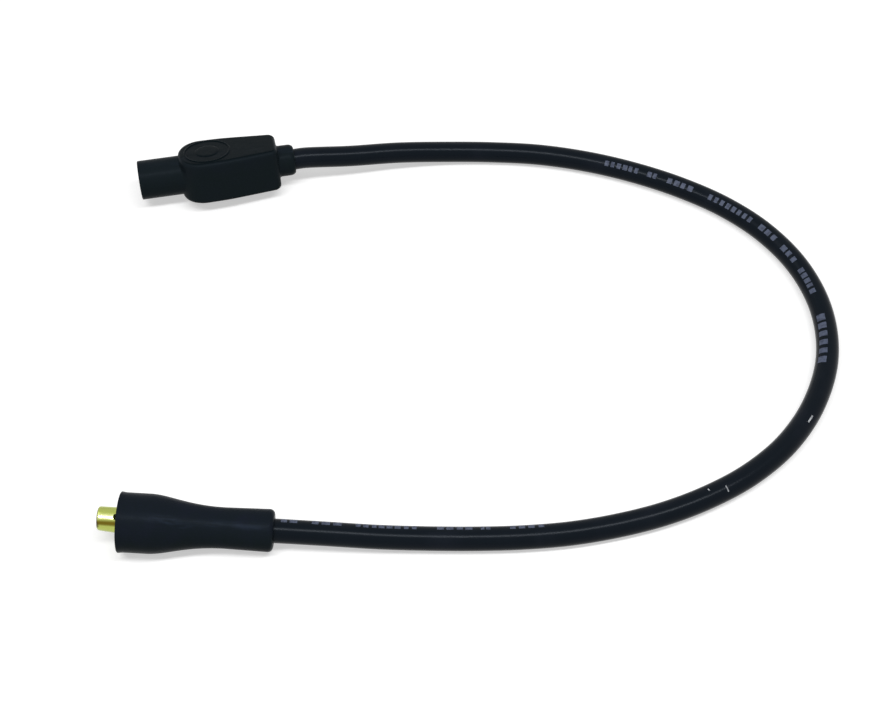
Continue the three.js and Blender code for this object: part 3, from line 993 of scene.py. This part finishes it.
def coilBootOutside():
    s = coilBoot
    outline = quarterRound((0, s["bellRadius"] + s["mouthLip"] - s["mouthRound"]),
                           (s["mouthRound"], s["bellRadius"] + s["mouthLip"]), True, 5)
    for x in between(s["lipStart"], s["lipEnd"], s["lipStep"]):
        outline.append((x, s["bellRadius"] + s["mouthLip"] * math.exp(-((x / s["lipFade"]) ** 2))))
    outline += [(x, s["bellRadius"]) for x in between(s["lipEnd"], s["bellLength"], s["bellStep"])]
    span = s["neckStart"] - s["bellLength"]
    handles = (0.0, *s["waistHandles"], 1.0)
    heights = (s["bellRadius"], s["bellRadius"], s["neckRadius"], s["neckRadius"])
    for i in range(s["waistSteps"]):
        t = i / s["waistSteps"]
        weights = ((1 - t) ** 3, 3 * t * (1 - t) ** 2, 3 * t**2 * (1 - t), t**3)
        x = s["bellLength"] + span * sum(w * h for w, h in zip(weights, handles))
        outline.append((x, sum(w * h for w, h in zip(weights, heights))))
    flareStart, flareEnd = s["neckStart"], s["end"] - s["neckRound"]
    for x in between(flareStart, flareEnd, s["neckStep"]):
        share = (x - flareStart) / (flareEnd - flareStart)
        outline.append((x, s["neckRadius"] + s["neckFlare"] * share))
    wide = s["neckRadius"] + s["neckFlare"]
    return outline + quarterRound((flareEnd, wide), (s["end"], wide - s["neckRound"]), True, 8)


def coilBootInside():
    s = coilBoot
    lead = s["passageLead"]
    outline = [(s["end"], s["passageRadius"] + lead), (s["end"] - lead, s["passageRadius"])]
    outline += [(s["cavityEnd"] + s["ramp"], s["passageRadius"]), (s["cavityEnd"], s["cavityRadius"])]
    outline += [(s["postHold"] + s["ramp"], s["cavityRadius"]), (s["postHold"], s["postBore"])]
    outline += [(s["bellDepth"] + s["postLead"], s["postBore"])]
    outline += [(s["bellDepth"], s["postBore"] + s["postLead"])]
    outline += quarterRound((s["bellDepth"], s["bellInside"] - s["floorRound"]),
                            (s["bellDepth"] - s["floorRound"], s["bellInside"]), True)
    return outline + quarterRound((s["mouthRound"], s["bellInside"]),
                                  (0, s["bellInside"] + s["mouthRound"]), False, 4)


def makeCoilBoot():
    points, faces = lathe(coilBootOutside() + coilBootInside(), coilBoot["segments"])
    boot = newPiece("coilBoot", points, faces, "coilBoot",
                    coilPlacing, coilBoot["sharpAngle"])
    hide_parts("coil_boot")


makeCoilBoot()
print("coil boot made")

# Coil terminal: brass sheet rolled to a post, with a funnel, a core crimp and a jacket crimp

coilTerminal = {
    "sides": 72,
    "wall": 0.0005,
    "inside": 0.0037,
    "taper": 0.0003,
    "tip": -0.007,
    "tipRound": 0.0008,
    "seamHalf": 0.00002,
    "slotNose": -0.0016,
    "noseRound": 0.0006,
    "slotEnd": 0.005,
    "slotHalf": 0.00085,
    "slotTurn": 18,  # degrees from the boot's top, towards the outside of the arc
    "lean": math.tan(math.radians(2.6)),  # the post stands a little aslant in the bell
    "leanTurn": math.radians(38),
    "leanRoot": 0.012,
    "step": 0.0006,
    "fineStep": 0.00005,  # round the slot's blunt nose
    "tipLead": 0.0004,
    "holdStart": 0.0056,  # where the boot grips the post
    "holdEnd": 0.0205,
    "holdStep": 0.001,
    "sharpAngle": 35,
    "tail": [  # (x, inside radius, half of the open seam)
        (0.021, 0.0037, 0.00003),
        (0.0214, 0.0032, 0.0028),
        (0.0224, 0.0019, 0.0018),
        (0.0228, 0.0014, 0.00025),
        (0.0254, 0.0014, 0.00025),
        (0.0258, 0.0019, 0.0018),
        (0.0268, 0.0039, 0.0036),
        (0.0272, 0.0043, 0.00025),
        (0.0362, 0.0043, 0.00025),
    ],
}


def slotHalf(x):
    # half of what the rolled sheet leaves open: a blunt slot, and a closed seam on both sides of it
    s = coilTerminal
    if not s["slotNose"] < x <= s["slotEnd"]:
        return s["seamHalf"]
    share = min(1.0, (x - s["slotNose"]) / s["noseRound"])
    return max(s["seamHalf"], s["slotHalf"] * math.sqrt(1 - (1 - share) ** 2))


def postStations():
    # (x, inside radius, half of the open seam) from the rolled-in tip to the cable's end
    s = coilTerminal
    tipInside = s["inside"] - s["taper"]
    stations = []
    for x, radius in quarterRound((s["tip"], tipInside - s["tipRound"]),
                                  (s["tip"] + s["tipRound"], tipInside), True, 8):
        stations.append((x, radius, s["seamHalf"]))
    noseEnd = s["slotNose"] + s["noseRound"]
    places = between(s["tip"] + s["tipRound"] + s["tipLead"], s["slotNose"], s["step"])
    places += between(s["slotNose"], noseEnd, s["fineStep"])
    places += between(noseEnd, s["slotEnd"], s["step"])
    places += [s["slotEnd"], s["slotEnd"] + s["fineStep"]]
    for x in places:
        share = min(1.0, (x - s["tip"]) / -s["tip"])
        stations.append((x, tipInside + s["taper"] * share, slotHalf(x)))
    hold = between(s["holdStart"], s["holdEnd"], s["holdStep"])
    stations += [(x, s["inside"], s["seamHalf"]) for x in hold]
    return stations + s["tail"]


def leaned(x, y, z):
    s = coilTerminal
    shift = s["lean"] * max(0.0, s["leanRoot"] - x)
    return x, y + shift * math.cos(s["leanTurn"]), z + shift * math.sin(s["leanTurn"])


def makeCoilTerminal():
    s = coilTerminal
    stations = postStations()
    sides = s["sides"]
    middle = math.pi / 2 + math.radians(s["slotTurn"])
    points = []
    for x, radius, half in stations:
        gap = math.asin(min(0.98, half / radius))
        loop = [middle + gap + (2 * math.pi - 2 * gap) * i / sides for i in range(sides + 1)]
        for angle in loop:
            outer = radius + s["wall"]
            points.append(leaned(x, outer * math.cos(angle), outer * math.sin(angle)))
        for angle in reversed(loop):
            points.append(leaned(x, radius * math.cos(angle), radius * math.sin(angle)))
    ring = 2 * (sides + 1)
    faces = skin(len(stations), ring, endless=False)
    for start in (0, (len(stations) - 1) * ring):
        for i in range(sides):
            far = ring - 1 - i
            cap = (start + i, start + i + 1, start + far - 1, start + far)
            faces.append(cap if start == 0 else cap[::-1])
    terminal = newPiece("coilTerminal", points, faces, "post",
                        coilPlacing, s["sharpAngle"])
    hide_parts("coil_terminal")


makeCoilTerminal()
print("coil terminal made")

# Pieces that keep their frame shape and get a finish

carriedFinishes = {"plug_terminal": "socket", "terminal_spring": "spring", "conductor_core": "core"}

for node, finish in carriedFinishes.items():
    carried = frame["nodes"][node]
    carried.data.materials.clear()
    carried.data.materials.append(finishes[finish])
print("carried pieces finished")

# Studio

studio = {
    "floorShade": 0.64,
    "floorLift": 0.50,  # added for the camera, so that the open floor is white
    "floorSize": 6.0,
    "floorRough": 0.9,
    "world": 0.24,
    "strip": {"place": (0.09, -0.30, 1.10), "aim": (0.09, 0.0, 0.0), "size": (1.40, 0.16), "power": 11.5},
    "soft": {"place": (-0.55, 0.35, 0.95), "aim": (0.08, 0.0, 0.0), "size": (0.70, 0.70), "power": 1.6},
}


def seenDirectly(board):
    # 1 for the camera and for mirror-like and clear surfaces, 0 for soft light
    rays = [board.node("ShaderNodeLightPath", output=name)
            for name in ("Is Camera Ray", "Is Glossy Ray", "Is Transmission Ray")]
    total = rays[0] + rays[1] + rays[2]
    return board.mask(total, 0.0, 1.0)


def makeFloor():
    half = studio["floorSize"] / 2
    corners = [(-half, -half, 0), (half, -half, 0), (half, half, 0), (-half, half, 0)]
    mesh = bpy.data.meshes.new("floor")
    mesh.from_pydata(corners, [], [(0, 1, 2, 3)])
    floor = bpy.data.objects.new("floor", mesh)
    bpy.context.scene.collection.objects.link(floor)
    material = bpy.data.materials.new("paper")
    paper = Board(material)
    shader = paper.tree.nodes["Principled BSDF"]
    shader.inputs["Base Color"].default_value = grey(studio["floorShade"])
    shader.inputs["Roughness"].default_value = studio["floorRough"]
    shader.inputs["Specular IOR Level"].default_value = 0.0
    shader.inputs["Emission Color"].default_value = grey(1)
    lift = seenDirectly(paper) * studio["floorLift"]
    paper.tree.links.new(lift.socket, shader.inputs["Emission Strength"])
    mesh.materials.append(material)


def makeWorld():
    world = bpy.data.worlds.new("studio")
    bpy.context.scene.world = world
    board = Board(world)
    background = board.tree.nodes["Background"]
    background.inputs["Color"].default_value = grey(1)
    strength = studio["world"] + seenDirectly(board) * (1 - studio["world"])
    board.tree.links.new(strength.socket, background.inputs["Strength"])


def makeLamp(name):
    facts = studio[name]
    data = bpy.data.lights.new(name, "AREA")
    data.shape = "RECTANGLE"
    data.size, data.size_y = facts["size"]
    data.energy = facts["power"]
    lamp = bpy.data.objects.new(name, data)
    lamp.location = facts["place"]
    back = Vector(facts["place"]) - Vector(facts["aim"])
    lamp.rotation_euler = back.to_track_quat("Z", "Y").to_euler()
    bpy.context.scene.collection.objects.link(lamp)


makeFloor()
makeWorld()
makeLamp("strip")
makeLamp("soft")
bpy.context.scene.view_settings.view_transform = "Standard"
print("studio set")
